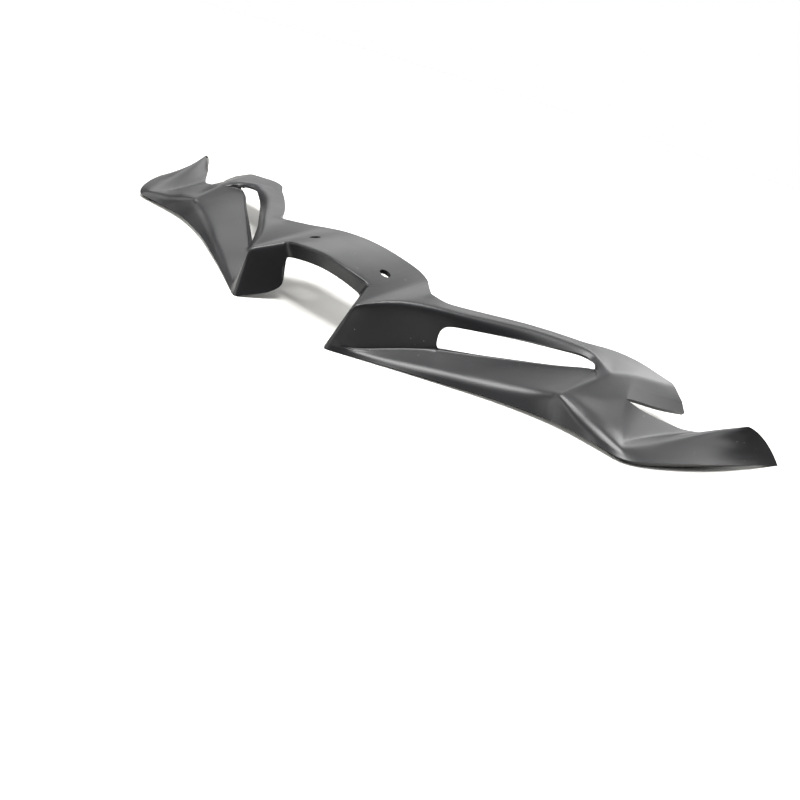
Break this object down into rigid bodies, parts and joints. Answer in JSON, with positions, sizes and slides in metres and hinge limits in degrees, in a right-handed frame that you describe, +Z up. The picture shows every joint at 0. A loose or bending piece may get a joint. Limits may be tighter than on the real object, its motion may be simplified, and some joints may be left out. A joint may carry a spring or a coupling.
{
  "type": "motorcycle front fairing",
  "caption": "Thin moulded nose fairing with an arched front, a screwed middle plate, slotted side recesses and swept-back winglets that part from rear prongs.",
  "frame": {"origin": "under the middle of the part, on the table it rests on", "axes": "+X across the bike to the part's right side seen from behind the nose, +Y from the nose to the wing tips, +Z up"},
  "size_m": [0.4472, 0.1504, 0.0379],
  "materials": {
    "black_abs": "satin black moulded plastic with soft highlights on the folds"
  },
  "bodies": {
    "root": {"fairing_shell": "black_abs"}
  },
  "joints": []
}
